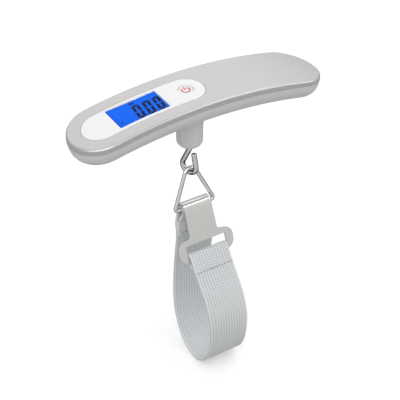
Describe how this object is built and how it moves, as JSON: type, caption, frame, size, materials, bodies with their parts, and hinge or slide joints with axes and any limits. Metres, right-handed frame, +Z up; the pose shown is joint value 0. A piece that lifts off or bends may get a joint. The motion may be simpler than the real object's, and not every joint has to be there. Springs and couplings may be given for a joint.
{
  "type": "digital luggage scale",
  "caption": "Hand-held luggage scale: arched steel-topped grip with a small display and button, and a swivel hook, triangle ring, clasp and webbing loop below.",
  "frame": {"origin": "On the grip's steel top face, at the middle of its length and width, where a hand closes over it.", "axes": "+X runs along the grip away from the display end, +Y across it towards the back run of the webbing, +Z up, with the loop hanging towards -Z."},
  "size_m": [0.15, 0.0618, 0.1692],
  "materials": {
    "brushed_steel": "fine satin brushed stainless steel",
    "white_plastic": "white satin moulded plastic",
    "lcd_glass": "blue backlit liquid crystal display behind clear glass",
    "grey_plastic": "grey satin moulded plastic",
    "frame_plastic": "dark grey moulded plastic",
    "rubber": "conductive rubber strip",
    "board": "green lacquered circuit board",
    "black_plastic": "black moulded plastic",
    "zinc_steel": "zinc plated steel",
    "aluminium": "plain machined aluminium",
    "lead_grey": "grey insulated lead",
    "lead_red": "red insulated lead",
    "lead_black": "black insulated lead",
    "brass": "plain brass",
    "chrome": "bright chrome plate on steel wire",
    "satin_steel": "satin nickel plate with bright edges",
    "webbing": "light grey woven polyester webbing with fine lengthwise ribs"
  },
  "bodies": {
    "handle": {"top_cover": "brushed_steel", "upper_frame": "frame_plastic", "display_panel": "white_plastic", "lcd_cell": "lcd_glass", "backlight_panel": "white_plastic", "zebra_strip": "rubber", "circuit_board": "board", "controller_chip": "black_plastic", "tact_switch": "black_plastic", "lower_housing": "grey_plastic", "housing_screw_1": "zinc_steel", "housing_screw_2": "zinc_steel", "housing_screw_3": "zinc_steel", "housing_screw_4": "zinc_steel", "load_cell": "aluminium", "gauge_cover": "white_plastic", "load_cell_screw_1": "zinc_steel", "load_cell_screw_2": "zinc_steel", "gauge_lead": "lead_grey", "battery_lead_positive": "lead_red", "battery_lead_negative": "lead_black", "coin_cell": "zinc_steel", "battery_contact_positive": "brass", "battery_contact_negative": "brass", "neck_bush": "brass"},
    "button": {"power_button": "white_plastic"},
    "battery_door": {"battery_door": "grey_plastic"},
    "hook": {"hook": "chrome", "hook_washer": "zinc_steel", "hook_nut": "brass"},
    "ring": {"triangle_ring": "chrome"},
    "strap": {"webbing_loop": "webbing"},
    "clasp": {"clasp": "satin_steel", "webbing_sewn_end": "webbing"}
  },
  "joints": [
    {"name": "power_press", "type": "slide", "parent": "handle", "child": "button", "axis": [0, 0, -1], "range_m": [0, 0.0006], "stiffness_N_per_m": 400, "springref_m": -0.0005},
    {"name": "battery_door_turn", "type": "hinge", "parent": "handle", "child": "battery_door", "pos_m": [0.03989, 0, -0.01718], "axis": [-0.1484, 0, -0.9889], "range_deg": [0, 60]},
    {"name": "hook_swivel", "type": "hinge", "parent": "handle", "child": "hook", "pos_m": [-0.0053, 0, -0.035], "axis": [0, 0, 1], "continuous": true},
    {"name": "ring_swing", "type": "hinge", "parent": "hook", "child": "ring", "pos_m": [-0.0053, 0, -0.05041], "axis": [1, 0, 0], "range_deg": [-12, 45]},
    {"name": "strap_swing", "type": "hinge", "parent": "ring", "child": "strap", "pos_m": [-0.0053, -0.0048, -0.0732], "axis": [1, 0, 0], "range_deg": [-25, 25]},
    {"name": "clasp_swing", "type": "hinge", "parent": "strap", "child": "clasp", "pos_m": [-0.0053, -0.0048, -0.0732], "axis": [1, 0, 0], "range_deg": [-12, 20]}
  ]
}
